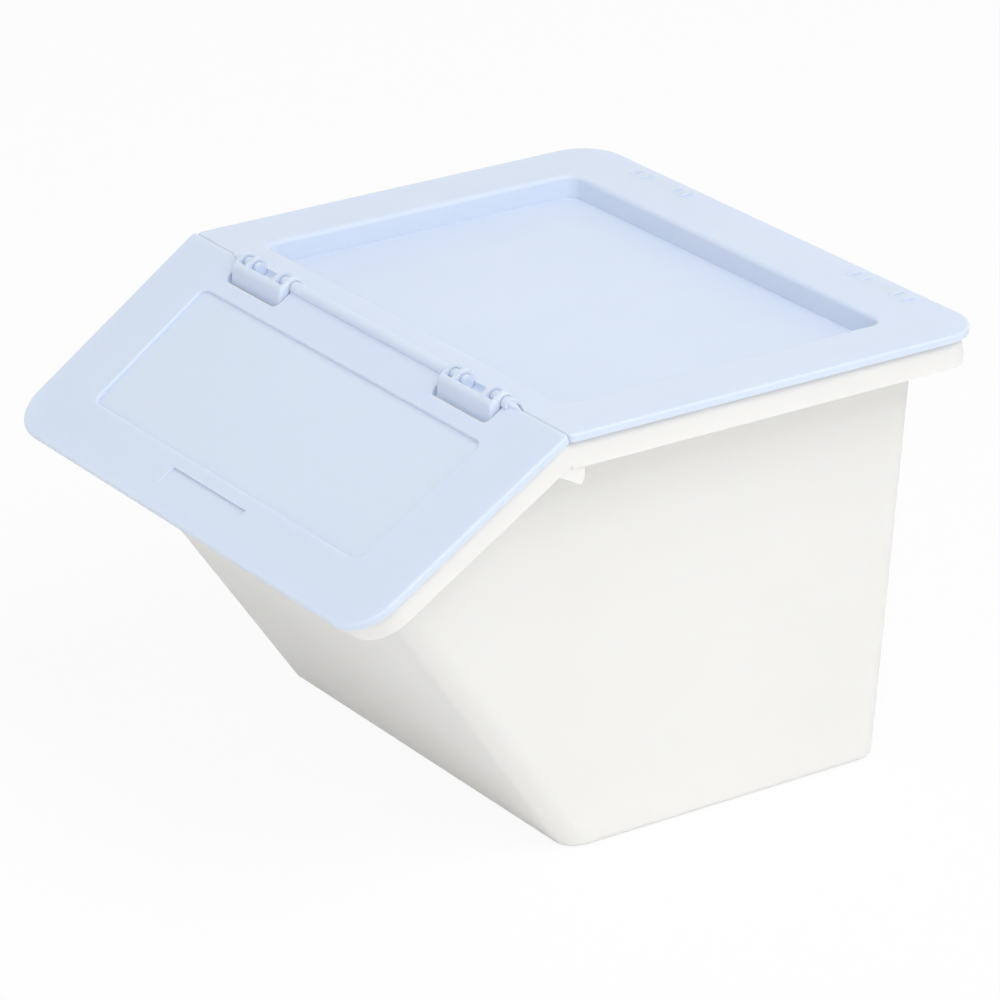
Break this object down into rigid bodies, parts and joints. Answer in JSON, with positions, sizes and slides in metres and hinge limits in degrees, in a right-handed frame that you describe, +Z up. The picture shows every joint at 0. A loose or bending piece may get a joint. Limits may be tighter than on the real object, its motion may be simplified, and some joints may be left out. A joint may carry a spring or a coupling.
{
  "type": "storage box",
  "caption": "Lidded storage box: a tapered bin with a sloping hopper front, a hinged top cover with a shallow stacking recess and a hinged front flap.",
  "frame": {"origin": "on the floor under the middle of the whole box", "axes": "+Z up, -Y to the front (the flap), +X to the right seen from the front"},
  "size_m": [0.148, 0.1612, 0.1082],
  "materials": {
    "bin_plastic": "white moulded polypropylene, satin",
    "cover_plastic": "pale blue moulded polypropylene, soft gloss",
    "flap_plastic": "pale blue moulded polypropylene, soft gloss"
  },
  "bodies": {
    "bin": {"bin": "bin_plastic"},
    "cover": {"top_cover": "cover_plastic"},
    "flap": {"front_flap": "flap_plastic"}
  },
  "joints": [
    {"name": "cover_hinge", "type": "hinge", "parent": "bin", "child": "cover", "pos_m": [0, 0.07673, 0.1039], "axis": [-1, 0, 0], "range_deg": [0, 100]},
    {"name": "flap_hinge", "type": "hinge", "parent": "cover", "child": "flap", "pos_m": [0, -0.03027, 0.1058], "axis": [-1, 0, 0], "range_deg": [0, 185]}
  ]
}
